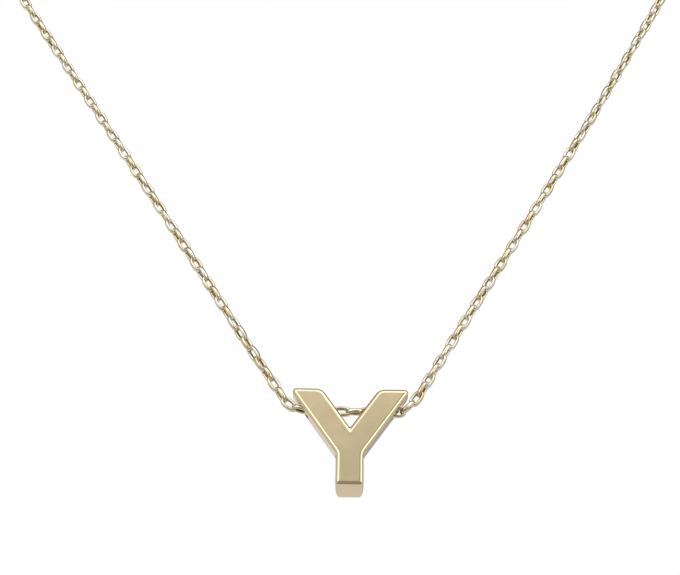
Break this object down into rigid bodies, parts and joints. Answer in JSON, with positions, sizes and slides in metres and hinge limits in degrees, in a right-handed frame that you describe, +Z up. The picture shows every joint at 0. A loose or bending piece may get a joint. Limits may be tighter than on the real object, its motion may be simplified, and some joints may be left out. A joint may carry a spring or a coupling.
{
  "type": "initial pendant necklace",
  "caption": "Polished capital letter threaded through two bores on a fine cable chain, in its worn form round a neck, closed by a ring clasp at the nape.",
  "frame": {"origin": "middle of the ring clasp at the nape of the neck, where the worn necklace hangs", "axes": "+Z up the neck, -Y to the wearer's front where the letter hangs, +X to the right as seen from the front"},
  "size_m": [0.0974, 0.1008, 0.1458],
  "materials": {
    "letter_gold": "cast and polished, champagne gold",
    "chain_gold": "drawn wire, polished, pale gold",
    "fitting_gold": "polished, pale gold"
  },
  "bodies": {
    "chain": {"chain_front": "chain_gold", "chain_back": "chain_gold", "clasp": "fitting_gold", "clasp_ring": "fitting_gold"},
    "letter": {"letter": "letter_gold"}
  },
  "joints": [
    {"name": "letter_swing", "type": "hinge", "parent": "chain", "child": "letter", "pos_m": [0, -0.098, -0.136], "axis": [1, 0, 0], "continuous": true}
  ]
}
